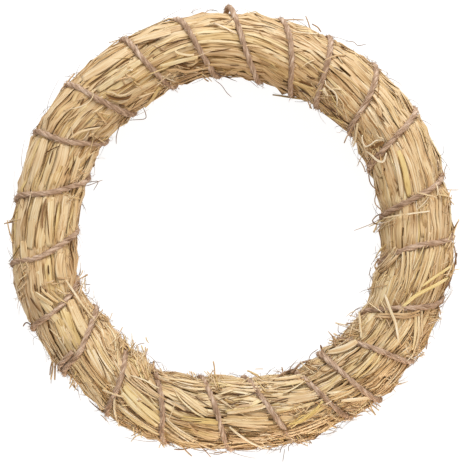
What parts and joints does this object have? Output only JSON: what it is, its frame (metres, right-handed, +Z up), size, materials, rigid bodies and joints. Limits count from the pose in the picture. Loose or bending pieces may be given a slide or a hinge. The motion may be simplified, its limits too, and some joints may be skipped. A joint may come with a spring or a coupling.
{
  "type": "straw wreath",
  "caption": "Round wreath of dry straw stalks gathered into a thick ring and bound spirally with jute twine, lying flat round an open centre.",
  "frame": {"origin": "on the surface that the wreath lies on, under the middle of its outline", "axes": "+Z up out of the ring's plane, towards the side that the picture shows; +Y towards the picture's upper edge; +X towards the picture's right"},
  "size_m": [0.3012, 0.3043, 0.0504],
  "materials": {
    "straw": "dry satin straw stalks and leaf sheaths, pale gold with darker gaps between them",
    "jute_twine": "matt three-ply jute twine with loose fibres"
  },
  "bodies": {
    "root": {"straw_bundle": "straw", "jute_twine": "jute_twine"}
  },
  "joints": []
}
